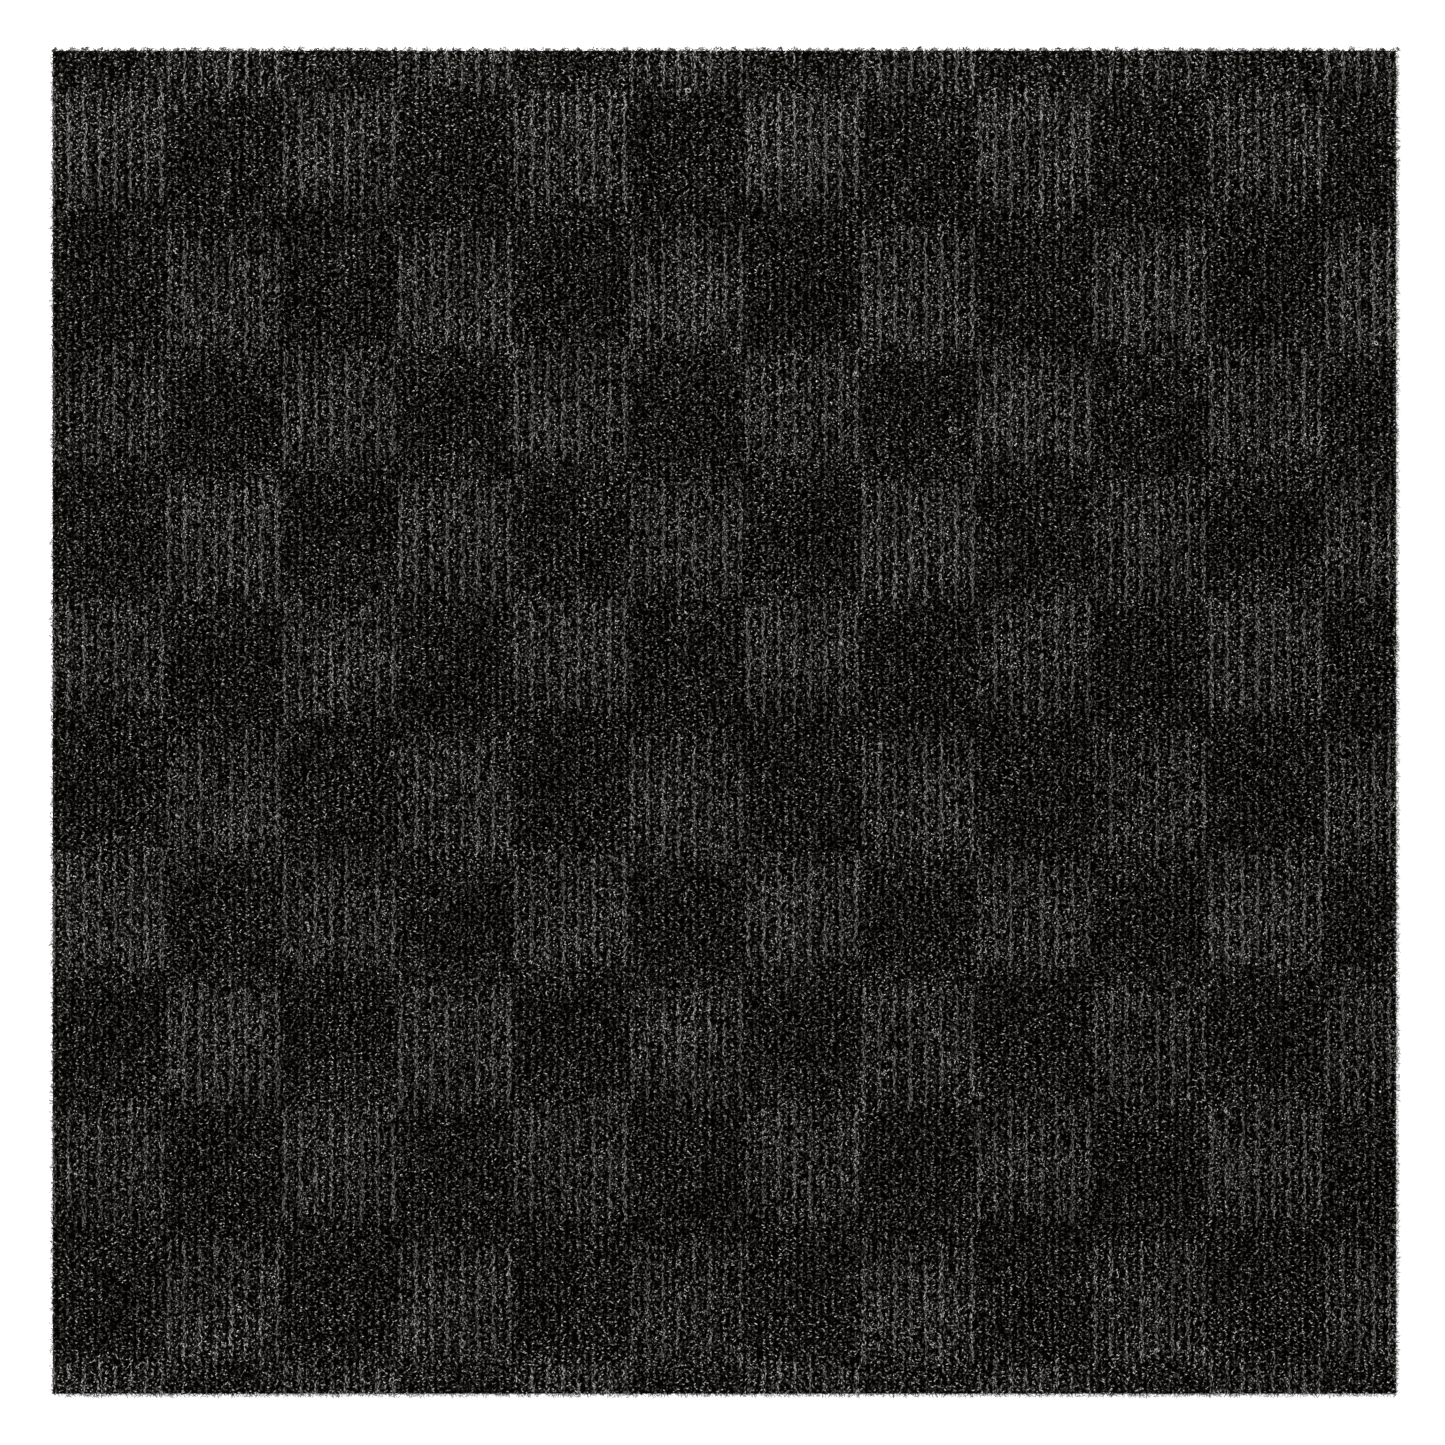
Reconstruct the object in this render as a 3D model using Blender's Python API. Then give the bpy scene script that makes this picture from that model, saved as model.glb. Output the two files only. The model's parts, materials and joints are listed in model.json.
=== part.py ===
"""Square carpet tile with a ribbed face, lying flat. Metres, +Z up.

The origin is the middle of the underside. +Y runs along the ribs and +X across them.
The tile is one solid: a slab with square cut edges, whose upper face is a row of ribs.
"""

import math

import bmesh
import bpy

# Driving dimensions
TILE_EDGE = 0.6096  # side of the square
OVERALL_THICKNESS = 0.00635  # from the underside to the top of a rib
RIB_PITCH = 0.0035  # from the middle of one rib to the middle of the next
RIB_HEIGHT = 0.0012  # from the bottom of a groove to the top of a rib
CREST_WIDTH = 0.0016  # flat top of a rib
FIRST_RIB_INSET = 0.0003  # from the left cut edge to the middle of the first rib

# A section corner nearer to a cut edge than this is left out
LEAST_CORNER_SPACING = 0.00002

# Finish of the face: charcoal felted fibre, as linear colour
FIBRE_COLOUR = (0.020, 0.019, 0.017, 1.0)
FIBRE_ROUGHNESS = 0.95
FIBRE_METALLIC = 0.0


def clear_scene():
    """Remove every object that the file holds."""
    for item in list(bpy.data.objects):
        bpy.data.objects.remove(item, do_unlink=True)


def fibre_material():
    """Material of the ribbed face and the cut edges."""
    material = bpy.data.materials.new("carpet_fibre")
    material.use_nodes = True
    shader = material.node_tree.nodes["Principled BSDF"]
    shader.inputs["Base Color"].default_value = FIBRE_COLOUR
    shader.inputs["Roughness"].default_value = FIBRE_ROUGHNESS
    shader.inputs["Metallic"].default_value = FIBRE_METALLIC
    return material


def rib_corners(first_edge, last_edge):
    """Corners (x, z) of the ribbed line, from before first_edge to past last_edge."""
    groove_height = OVERALL_THICKNESS - RIB_HEIGHT
    rib_count = math.ceil((last_edge - first_edge) / RIB_PITCH) + 2
    corners = []
    for rib in range(-1, rib_count):
        middle = first_edge + FIRST_RIB_INSET + rib * RIB_PITCH
        corners.append((middle - RIB_PITCH / 2, groove_height))
        corners.append((middle - CREST_WIDTH / 2, OVERALL_THICKNESS))
        corners.append((middle + CREST_WIDTH / 2, OVERALL_THICKNESS))
    return corners


def height_at(corners, x):
    """Height of the ribbed line at x, between two of its corners."""
    for (x0, z0), (x1, z1) in zip(corners, corners[1:]):
        if x0 <= x <= x1:
            return z0 + (z1 - z0) * (x - x0) / (x1 - x0)
    raise ValueError("x is outside the ribbed line")


def tile_section():
    """Outline (x, z) of the tile across its ribs, cut off square at both edges."""
    left = -TILE_EDGE / 2
    right = TILE_EDGE / 2
    corners = rib_corners(left, right)
    inside = [
        corner
        for corner in corners
        if left + LEAST_CORNER_SPACING < corner[0] < right - LEAST_CORNER_SPACING
    ]
    face_line = [(left, height_at(corners, left)), *inside, (right, height_at(corners, right))]
    underside = [(right, 0.0), (left, 0.0)]
    return face_line + underside


def carpet_tile():
    """The tile: its section drawn out along the ribs."""
    mesh = bpy.data.meshes.new("carpet_tile")
    shape = bmesh.new()
    near_edge = -TILE_EDGE / 2
    outline = [shape.verts.new((x, near_edge, z)) for x, z in tile_section()]
    end_face = shape.faces.new(outline)
    drawn = bmesh.ops.extrude_face_region(shape, geom=[end_face])
    far_outline = [item for item in drawn["geom"] if isinstance(item, bmesh.types.BMVert)]
    bmesh.ops.translate(shape, verts=far_outline, vec=(0.0, TILE_EDGE, 0.0))
    bmesh.ops.recalc_face_normals(shape, faces=shape.faces)
    shape.to_mesh(mesh)
    shape.free()
    mesh.materials.append(fibre_material())
    tile = bpy.data.objects.new("carpet_tile", mesh)
    bpy.context.collection.objects.link(tile)
    return tile


def main():
    """Build the carpet tile in an empty scene."""
    clear_scene()
    carpet_tile()


main()
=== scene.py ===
"""Looks of a square carpet tile: needle-punched fibre in fine ribs, with a checkerboard of light ribs.

Everything is in metres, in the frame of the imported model: the underside lies at z = 0, +Y runs
along the ribs and +X across them. The face is looked at from straight above.

The real face is made of fibre loops that forked needles pull up through the felt, one row of
loops to a rib. So the tile is a ribbed slab of felt, and the loops stand on its ribs as real
meshes, dark ones everywhere and light ones on every other rib of a light block.
"""

from __future__ import annotations

import json
import logging
import math
from abc import ABC, abstractmethod
from dataclasses import dataclass, field
from enum import Enum
from typing import Callable

import bpy
import numpy as np
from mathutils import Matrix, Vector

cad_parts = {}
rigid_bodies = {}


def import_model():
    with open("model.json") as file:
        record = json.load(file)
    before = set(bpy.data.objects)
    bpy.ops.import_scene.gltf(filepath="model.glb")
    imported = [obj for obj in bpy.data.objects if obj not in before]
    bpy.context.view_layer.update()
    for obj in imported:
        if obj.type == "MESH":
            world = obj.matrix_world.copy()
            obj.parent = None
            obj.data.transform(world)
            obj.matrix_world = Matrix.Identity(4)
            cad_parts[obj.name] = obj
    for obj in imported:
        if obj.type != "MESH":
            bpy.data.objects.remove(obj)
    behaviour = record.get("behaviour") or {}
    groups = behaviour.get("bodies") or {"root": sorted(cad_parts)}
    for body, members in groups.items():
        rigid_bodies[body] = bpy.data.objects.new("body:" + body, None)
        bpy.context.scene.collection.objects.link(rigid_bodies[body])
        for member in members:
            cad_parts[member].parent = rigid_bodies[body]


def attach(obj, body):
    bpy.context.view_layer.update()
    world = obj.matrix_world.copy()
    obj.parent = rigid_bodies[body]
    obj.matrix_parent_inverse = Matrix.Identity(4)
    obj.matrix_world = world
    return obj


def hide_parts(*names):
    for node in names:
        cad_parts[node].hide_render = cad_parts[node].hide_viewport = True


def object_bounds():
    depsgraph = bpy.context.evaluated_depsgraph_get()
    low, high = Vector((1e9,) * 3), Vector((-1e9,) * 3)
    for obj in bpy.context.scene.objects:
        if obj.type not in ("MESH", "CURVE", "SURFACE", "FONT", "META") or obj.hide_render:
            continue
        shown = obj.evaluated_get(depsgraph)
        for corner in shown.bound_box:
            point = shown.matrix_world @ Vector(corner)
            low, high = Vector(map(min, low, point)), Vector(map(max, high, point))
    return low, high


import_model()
CAD_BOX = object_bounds()

MM = 0.001
NODE = "carpet_tile"
BODY = "root"
BAKE_MAP = "OFBake"
STRAND_TONE_AND_SHADE = "strand_tone_and_shade"

log = logging.getLogger("carpet_tile")


def linear(hex_colour: str) -> tuple[float, float, float, float]:
    """Turn an sRGB hex colour into a linear one.

    Args:
        hex_colour: Six hex digits, such as "2a2927".

    Returns:
        Linear red, green and blue, and an alpha of 1.
    """
    channels = [int(hex_colour[i:i + 2], 16) / 255 for i in (0, 2, 4)]
    curve = [c / 12.92 if c <= 0.04045 else ((c + 0.055) / 1.055) ** 2.4 for c in channels]
    return (*curve, 1.0)


def add_node(
    tree: bpy.types.NodeTree, kind: str, inputs: dict | None = None, **settings,
) -> bpy.types.Node:
    """Add a node with its settings, values and links.

    Args:
        tree: Node tree that gets the node.
        kind: The node's type, such as "ShaderNodeMath".
        inputs: For each input's name or number, a value or the socket that feeds it.
        **settings: Properties of the node.

    Returns:
        The new node.
    """
    node = tree.nodes.new(kind)
    for name, value in settings.items():
        setattr(node, name, value)
    for key, value in (inputs or {}).items():
        if isinstance(value, bpy.types.NodeSocket):
            tree.links.new(value, node.inputs[key])
        else:
            node.inputs[key].default_value = value
    return node


def set_ramp(node: bpy.types.Node, stops: list[tuple[float, tuple]]) -> None:
    """Give a colour ramp its stops.

    Args:
        node: A colour ramp node.
        stops: Place and linear colour of each stop, in order.
    """
    elements = node.color_ramp.elements
    while len(elements) > 1:
        elements.remove(elements[-1])
    elements[0].position, elements[0].color = stops[0]
    for place, colour in stops[1:]:
        elements.new(place).color = colour


def only(item: bpy.types.Object) -> None:
    """Select one object alone and make it the active one.

    Args:
        item: The object.
    """
    for other in bpy.context.selected_objects:
        other.select_set(False)
    item.select_set(True)
    bpy.context.view_layer.objects.active = item


def smoothstep(low: float, high: float, value: np.ndarray) -> np.ndarray:
    """Rise smoothly from 0 at low to 1 at high."""
    t = np.clip((value - low) / (high - low), 0.0, 1.0)
    return t * t * (3 - 2 * t)


@dataclass(frozen=True)
class Unevenness:
    """How the needling strays from its plan, drawn by chance from one seed."""

    seed: int = 5
    end_spread: float = 1.5 * MM
    rib_spread: float = 0.13
    block_spread: float = 0.09
    far_strength: float = 0.85
    near_strength: float = 0.68
    swell: float = 0.08
    cloud_size: float = 42 * MM
    cloud_stretch: tuple[float, float] = (0.7, 1.8)
    cloud_depth: float = 0.1
    cloud_waves: int = 6
    edge_lift: float = 0.24
    far_reach: float = 68 * MM
    near_reach: float = 42 * MM
    band_room: int = 8

    def ends(self, kind: int, ribs: int) -> np.ndarray:
        """Draw how far each band's two ends are shifted on each rib.

        Args:
            kind: Number of the kind of band.
            ribs: Number of ribs.

        Returns:
            Shifts by end, rib and band.
        """
        dice = np.random.default_rng((self.seed, kind))
        return dice.normal(0, self.end_spread, (2, ribs, self.band_room))

    def strength(self, kind: int, ribs: int, ribs_per_block: int) -> np.ndarray:
        """Draw how strongly each rib of each band is filled with light fibre.

        Args:
            kind: Number of the kind of band.
            ribs: Number of ribs.
            ribs_per_block: Number of ribs in a block.

        Returns:
            Factors around 1 by rib and band.
        """
        dice = np.random.default_rng((self.seed, kind, ribs))
        own = dice.normal(1, self.rib_spread, (ribs, self.band_room))
        shared = dice.normal(1, self.block_spread, (ribs // ribs_per_block + 1, self.band_room))
        return own * shared[np.arange(ribs) // ribs_per_block]

    def cloud(self, x: np.ndarray, y: np.ndarray) -> np.ndarray:
        """Brightness of the pile in soft clouds, as a factor around 1.

        Args:
            x: Places along X.
            y: Places along Y.

        Returns:
            The factors.
        """
        dice = np.random.default_rng(self.seed)
        total = np.zeros(np.shape(x))
        for _ in range(self.cloud_waves):
            way, phase = dice.uniform(0, 2 * math.pi, 2)
            length = self.cloud_size * dice.uniform(*self.cloud_stretch)
            total += np.sin(2 * math.pi * (x * math.cos(way) + y * math.sin(way)) / length + phase)
        return 1 + self.cloud_depth * total / math.sqrt(self.cloud_waves / 2)

    def edge_glow(self, y: np.ndarray, edge: float) -> np.ndarray:
        """Brightness of the pile by its nearness to the far or near cut edge, as a factor from 1 up.

        Args:
            y: Places along Y.
            edge: Side of the tile.

        Returns:
            The factors.
        """
        inward = edge / 2 - np.abs(y)
        reach = np.where(y > 0, self.far_reach, self.near_reach)
        return 1 + self.edge_lift * np.exp(-(inward / reach) ** 2)


@dataclass(frozen=True)
class Pattern:
    """Ribs, blocks and bands of the face, as the needles made them."""

    edge: float
    rib_pitch: float = 3.5 * MM
    first_rib_inset: float = 0.3 * MM
    ribs_per_block: int = 15
    repeat: float = 114.9 * MM
    odd_band_start: float = 19.8 * MM
    odd_band_length: float = 50.4 * MM
    even_band_start: float = 81.0 * MM
    even_band_length: float = 53.2 * MM
    soft_end: float = 5.0 * MM
    uneven: Unevenness = Unevenness()

    @property
    def rib_count(self) -> int:
        """Number of ribs whose middle lies on the tile."""
        return int((self.edge - self.first_rib_inset) / self.rib_pitch) + 1

    def rib_x(self, rib: np.ndarray) -> np.ndarray:
        """Place of a rib's middle along X."""
        return -self.edge / 2 + self.first_rib_inset + rib * self.rib_pitch

    def nearest_rib(self, x: np.ndarray) -> np.ndarray:
        """Number of the rib that is nearest to x."""
        return np.rint((x + self.edge / 2 - self.first_rib_inset) / self.rib_pitch).astype(int)

    def in_band(self, kind: int, rib: np.ndarray, y: np.ndarray) -> np.ndarray:
        """Share of light fibre that a kind of band gives to its light ribs.

        Args:
            kind: 0 for the bands of the odd columns and 1 for those of the even ones.
            rib: Each place's rib.
            y: Each place along the ribs.

        Returns:
            Shares from 0 outside the bands to about 1 inside, with ragged ends.
        """
        start = (self.odd_band_start, self.even_band_start)[kind]
        half = (self.odd_band_length, self.even_band_length)[kind] / 2
        down = self.edge / 2 - y
        band = np.rint((down - start - half) / self.repeat).astype(int)
        off = down - start - half - band * self.repeat
        early, late = self.uneven.ends(kind, self.rib_count + 1)[:, rib, band]
        soft = self.soft_end / 2
        inside = smoothstep(-half - soft, -half + soft, off - early)
        inside = inside * (1 - smoothstep(half - soft, half + soft, off - late))
        strength = self.uneven.strength(kind, self.rib_count + 1, self.ribs_per_block)[rib, band]
        across = down / self.edge
        fade = self.uneven.far_strength * (1 - across) + self.uneven.near_strength * across
        return np.clip(inside * strength * fade * (1 + self.uneven.swell * off / half), 0, 1)

    def light_block(self, rib: np.ndarray, y: np.ndarray) -> np.ndarray:
        """How far a place is inside a light block, whatever its rib."""
        odd_column = (rib // self.ribs_per_block) % 2 == 0
        return np.where(odd_column, self.in_band(0, rib, y), self.in_band(1, rib, y))

    def light_ribs(self, rib: np.ndarray, y: np.ndarray) -> np.ndarray:
        """Share of light fibre at a place on a rib, high on the light ribs of a light block.

        Args:
            rib: Each place's rib.
            y: Each place along the ribs.

        Returns:
            Shares from 0 to 1.
        """
        place = rib % (2 * self.ribs_per_block)
        chosen = np.where(place < self.ribs_per_block, place % 2 == 0, place % 2 == 1)
        return self.light_block(rib, y) * chosen

    def tone_factor(self, x: np.ndarray, y: np.ndarray) -> np.ndarray:
        """Factor on the tone of the fibre at a place."""
        return self.uneven.cloud(x, y) * self.uneven.edge_glow(y, self.edge)


class LoopForm(Enum):
    """Shapes of a fibre: the sideways shift of its crown, and the radius of its ring if it has one."""

    ARCH = (0.0, 0.0)
    BOW = (0.3 * MM, 0.0)
    HOOK = (-0.45 * MM, 0.0)
    RING = (0.0, 1.2 * MM)


# Share of each form, in the order of LoopForm
LYING_LOOPS = (0.34, 0.33, 0.33, 0.0)
RINGS = (0.0, 0.0, 0.0, 1.0)


@dataclass(frozen=True)
class FibreColours:
    """Solution-dyed polyester staple, spun and crimped: matt fibre with its colour all through.

    The dye lots that are blended into the felt give the eye light and dark fibres side by side,
    some a little warm and some a little cool. A real fibre is about 0.05 mm thick, too fine for
    the render, so a loop stands for a bundle. Its colour carries painted light: a painted
    highlight along its ridge, and painted shade on its flanks and tips.
    """

    name: str
    stops: tuple[tuple[float, str], ...]
    roughness: float = 0.85
    specular: float = 0.0
    warm_tint: str = "fff9f3"
    cool_tint: str = "eff4ff"
    tint_changes: float = 70.0

    def material(self) -> bpy.types.Material:
        """Make the material of loops, whose map holds each loop's tone and the painted light at a point.

        Returns:
            The material.
        """
        material = bpy.data.materials.new(self.name)
        material.use_nodes = True
        tree = material.node_tree
        shader = tree.nodes["Principled BSDF"]
        spot = add_node(tree, "ShaderNodeUVMap", uv_map=BAKE_MAP)
        parts = add_node(tree, "ShaderNodeSeparateXYZ", {0: spot.outputs["UV"]})
        tone = add_node(tree, "ShaderNodeValToRGB", {0: parts.outputs["X"]})
        set_ramp(tone, [(place, linear(colour)) for place, colour in self.stops])
        # Painted light: the tone is multiplied by the map's V, a painted highlight on a loop's ridge and
        # painted shade on its flanks and tips.
        colour = add_node(
            tree, "ShaderNodeVectorMath", {0: tone.outputs["Color"], 1: parts.outputs["Y"]},
            operation="MULTIPLY",
        )
        change = add_node(
            tree, "ShaderNodeMath", {0: parts.outputs["X"], 1: self.tint_changes}, operation="MULTIPLY",
        )
        which = add_node(
            tree, "ShaderNodeTexNoise", {"W": change.outputs["Value"], "Scale": 1.0, "Detail": 0.0},
            noise_dimensions="1D",
        )
        tint = add_node(
            tree, "ShaderNodeMix",
            {"Factor": which.outputs["Fac"], "A": linear(self.warm_tint), "B": linear(self.cool_tint)},
            data_type="RGBA",
        )
        dyed = add_node(
            tree, "ShaderNodeVectorMath", {0: colour.outputs["Vector"], 1: tint.outputs["Result"]},
            operation="MULTIPLY",
        )
        tree.links.new(dyed.outputs["Vector"], shader.inputs["Base Color"])
        shader.inputs["Roughness"].default_value = self.roughness
        shader.inputs["Specular IOR Level"].default_value = self.specular
        return material


CHARCOAL_LOOPS = FibreColours(
    "solution_dyed_charcoal_fibre",
    ((0.0, "1a1816"), (0.3, "464442"), (0.6, "777572"), (0.85, "b0adaa"), (1.0, "e5e3df")),
)
GREY_LOOPS = FibreColours(
    "solution_dyed_grey_fibre",
    ((0.0, "262423"), (0.3, "52504e"), (0.6, "7a7876"), (0.85, "a09e9c"), (1.0, "d4d1ce")),
)


@dataclass(frozen=True)
class FeltFinish:
    """Needle-punched felt: charcoal staple that barbed needles matted, as matt as soot.

    Between the strands the felt is drawn near black: the charcoal fibre, and painted shade of
    the deep felt. Short curved strands lie over it, in layers that each have their own slant. A
    strand is one cell of a stretched cell pattern, bright along its middle and black at its rim,
    its shape with a painted highlight down the middle and painted shade at the rim. It is about
    ten times as wide as a real fibre, which the render can't show.
    """

    name: str = "needle_punched_felt"
    # Near black: the charcoal fibre, and painted shade standing in for the shade deep in the felt.
    ground_with_painted_shade: str = "010100"
    slants: tuple[float, ...] = (0.5, -0.65, 1.35)
    layer_shift: tuple[float, float, float] = (7 * MM, 0.0, 3 * MM)
    strand_gap: float = 0.48 * MM
    strand_stretch: float = 2.0
    strand_half_width: float = 0.5
    strand_core: float = 0.15
    curl_size: float = 2.5 * MM
    curl_reach: float = 0.5 * MM
    light_lift: float = 0.045
    # Painted shade: how much darker the strands are in the grooves between the ribs.
    back_lift: float = 0.03
    groove_painted_shade: float = 0.04
    bump_depth: float = 0.4 * MM
    bump_strength: float = 0.6
    roughness: float = 0.9
    specular: float = 0.0
    # Most strands are black: the charcoal fibre, and painted shade of the deep felt.
    stops: tuple[tuple[float, str], ...] = (
        (0.84, "000000"), (0.92, "34322f"), (0.97, "72706d"), (1.0, "c8c5c2"),
    )

    def material(self) -> bpy.types.Material:
        """Make the felt's material.

        Returns:
            The material.
        """
        material = bpy.data.materials.new(self.name)
        material.use_nodes = True
        tree = material.node_tree
        shader = tree.nodes["Principled BSDF"]
        place = add_node(tree, "ShaderNodeTexCoord")
        wander = add_node(
            tree, "ShaderNodeTexNoise",
            {"Vector": place.outputs["Object"], "Scale": 1 / self.curl_size, "Detail": 1.0},
        )
        pull = add_node(
            tree, "ShaderNodeVectorMath",
            {0: wander.outputs["Color"], 1: (2 * self.curl_reach,) * 3, 2: place.outputs["Object"]},
            operation="MULTIPLY_ADD",
        )
        lift = add_node(tree, "ShaderNodeAttribute", attribute_name=STRAND_TONE_AND_SHADE)
        colour = None
        height = None
        for slant in self.slants:
            turned = add_node(
                tree, "ShaderNodeMapping",
                {"Vector": pull.outputs["Vector"],
                 "Location": tuple(slant * shift for shift in self.layer_shift),
                 "Rotation": (0, 0, slant), "Scale": (self.strand_stretch, 1.0, 1.0)},
                vector_type="TEXTURE",
            )
            cells = add_node(
                tree, "ShaderNodeTexVoronoi",
                {"Vector": turned.outputs["Vector"], "Scale": 1 / self.strand_gap},
            )
            ridge = add_node(
                tree, "ShaderNodeMapRange",
                {"Value": cells.outputs["Distance"], "From Min": self.strand_half_width,
                 "From Max": self.strand_core},
            )
            level = add_node(tree, "ShaderNodeSeparateColor", {0: cells.outputs["Color"]})
            lifted = add_node(
                tree, "ShaderNodeMath", {0: level.outputs["Red"], 1: lift.outputs["Fac"]},
                operation="ADD",
            )
            tone = add_node(tree, "ShaderNodeValToRGB", {0: lifted.outputs["Value"]})
            set_ramp(tone, [(spot, linear(shade)) for spot, shade in self.stops])
            # Painted highlight and shade: each strand's colour is bright down its middle and fades to
            # black at its rim.
            strand = add_node(
                tree, "ShaderNodeVectorMath", {0: tone.outputs["Color"], 1: ridge.outputs["Result"]},
                operation="MULTIPLY",
            )
            if colour is None:
                colour = strand
                height = ridge
                continue
            colour = add_node(
                tree, "ShaderNodeVectorMath", {0: colour.outputs["Vector"], 1: strand.outputs["Vector"]},
                operation="MAXIMUM",
            )
            height = add_node(
                tree, "ShaderNodeMath", {0: height.outputs[0], 1: ridge.outputs["Result"]},
                operation="MAXIMUM",
            )
        # Painted shade: the near-black ground is added under the strands.
        base = add_node(
            tree, "ShaderNodeVectorMath", {0: colour.outputs["Vector"], 1: linear(self.ground_with_painted_shade)[:3]},
            operation="ADD",
        )
        tree.links.new(base.outputs["Vector"], shader.inputs["Base Color"])
        bump = add_node(
            tree, "ShaderNodeBump",
            {"Height": height.outputs[0], "Distance": self.bump_depth, "Strength": self.bump_strength},
        )
        tree.links.new(bump.outputs["Normal"], shader.inputs["Normal"])
        shader.inputs["Roughness"].default_value = self.roughness
        shader.inputs["Specular IOR Level"].default_value = self.specular
        return material


@dataclass
class FeltSlab:
    """The felt under the loops: ribbed above, flat below, cut square all round."""

    pattern: Pattern
    crest_height: float = 5.3 * MM
    groove_depth: float = 0.9 * MM
    spans_per_rib: int = 4
    rows: int = 24
    cut_inset: float = 0.25 * MM
    wall_strip: float = 0.05
    wall_margin: float = 0.1
    face_strip: float = 0.25
    finish: FeltFinish = field(default_factory=FeltFinish)

    def crest(self, x: np.ndarray) -> np.ndarray:
        """How near to the top of a rib a place is, from 0 in a groove to 1 on the crest."""
        off = (x - self.pattern.rib_x(self.pattern.nearest_rib(x))) / self.pattern.rib_pitch
        return 0.5 + 0.5 * np.cos(2 * math.pi * off)

    def height(self, x: np.ndarray) -> np.ndarray:
        """Height of the felt's upper side above the floor."""
        return self.crest_height - self.groove_depth * (1 - self.crest(x))

    def build(self) -> bpy.types.Object:
        """Model the slab and dress it.

        Returns:
            The finished piece.
        """
        bpy.ops.object.select_all(action="DESELECT")
        bpy.ops.mesh.primitive_grid_add(
            x_subdivisions=self.columns,
            y_subdivisions=self.rows,
            size=self.pattern.edge,
            location=(0, 0, 0),
        )
        slab = bpy.context.active_object
        slab.name = slab.data.name = "felt_slab"
        self.raise_ribs(slab)
        self.close_below(slab)
        self.mark_strand_tone_and_shade(slab)
        self.lay_map(slab)
        slab.data.materials.append(self.finish.material())
        return slab

    @property
    def columns(self) -> int:
        """Number of strips that the slab has across its ribs."""
        span = self.pattern.rib_pitch / self.spans_per_rib
        return int((self.pattern.edge - self.pattern.first_rib_inset - self.cut_inset) / span) + 1

    def raise_ribs(self, slab: bpy.types.Object) -> None:
        """Bring the grid's columns to the ribs and lift them to the ribbed surface.

        Args:
            slab: The slab.
        """
        places = self.places(slab)
        edge = self.pattern.edge
        column = np.rint((places[:, 0] / edge + 0.5) * self.columns)
        span = self.pattern.rib_pitch / self.spans_per_rib
        at_ribs = self.pattern.rib_x(0) + column * span
        limit = edge / 2 - self.cut_inset
        places[:, 0] = np.where(column == 0, -limit, np.where(column == self.columns, limit, at_ribs))
        places[:, 1] *= 2 * limit / edge
        places[:, 2] = self.height(places[:, 0])
        slab.data.vertices.foreach_set("co", places.ravel())
        slab.data.update()

    def close_below(self, slab: bpy.types.Object) -> None:
        """Draw the rim down to the floor and close the underside.

        Args:
            slab: The slab.
        """
        only(slab)
        bpy.ops.object.mode_set(mode="EDIT")
        bpy.ops.mesh.select_all(action="DESELECT")
        bpy.ops.mesh.select_mode(type="EDGE")
        bpy.ops.mesh.select_non_manifold()
        bpy.ops.mesh.extrude_region_move()
        bpy.ops.transform.resize(value=(1, 1, 0), center_override=(0, 0, 0))
        bpy.ops.mesh.edge_face_add()
        bpy.ops.mesh.select_all(action="SELECT")
        bpy.ops.mesh.normals_make_consistent(inside=False)
        bpy.ops.object.mode_set(mode="OBJECT")

    def places(self, slab: bpy.types.Object) -> np.ndarray:
        """Places of the slab's vertices, one to a row.

        Args:
            slab: The slab.

        Returns:
            The places.
        """
        flat = np.empty(3 * len(slab.data.vertices), np.float32)
        slab.data.vertices.foreach_get("co", flat)
        return flat.reshape(-1, 3)

    def mark_strand_tone_and_shade(self, slab: bpy.types.Object) -> None:
        """Store how much brighter the felt's strands are at each vertex.

        They are brighter in a light block, darker in a groove as painted shade, and even all over the
        underside.

        Args:
            slab: The slab.
        """
        places = self.places(slab)
        rib = self.pattern.nearest_rib(places[:, 0])
        lift = self.finish.light_lift * self.pattern.light_block(rib, places[:, 1])
        # Painted shade: the strands are darkened in the grooves between the ribs.
        lift -= self.finish.groove_painted_shade * (1 - self.crest(places[:, 0]))
        lift = np.where(places[:, 2] > self.crest_height / 2, lift, self.finish.back_lift)
        store = slab.data.attributes.new(STRAND_TONE_AND_SHADE, "FLOAT", "POINT")
        store.data.foreach_set("value", lift.astype(np.float32))

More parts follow.
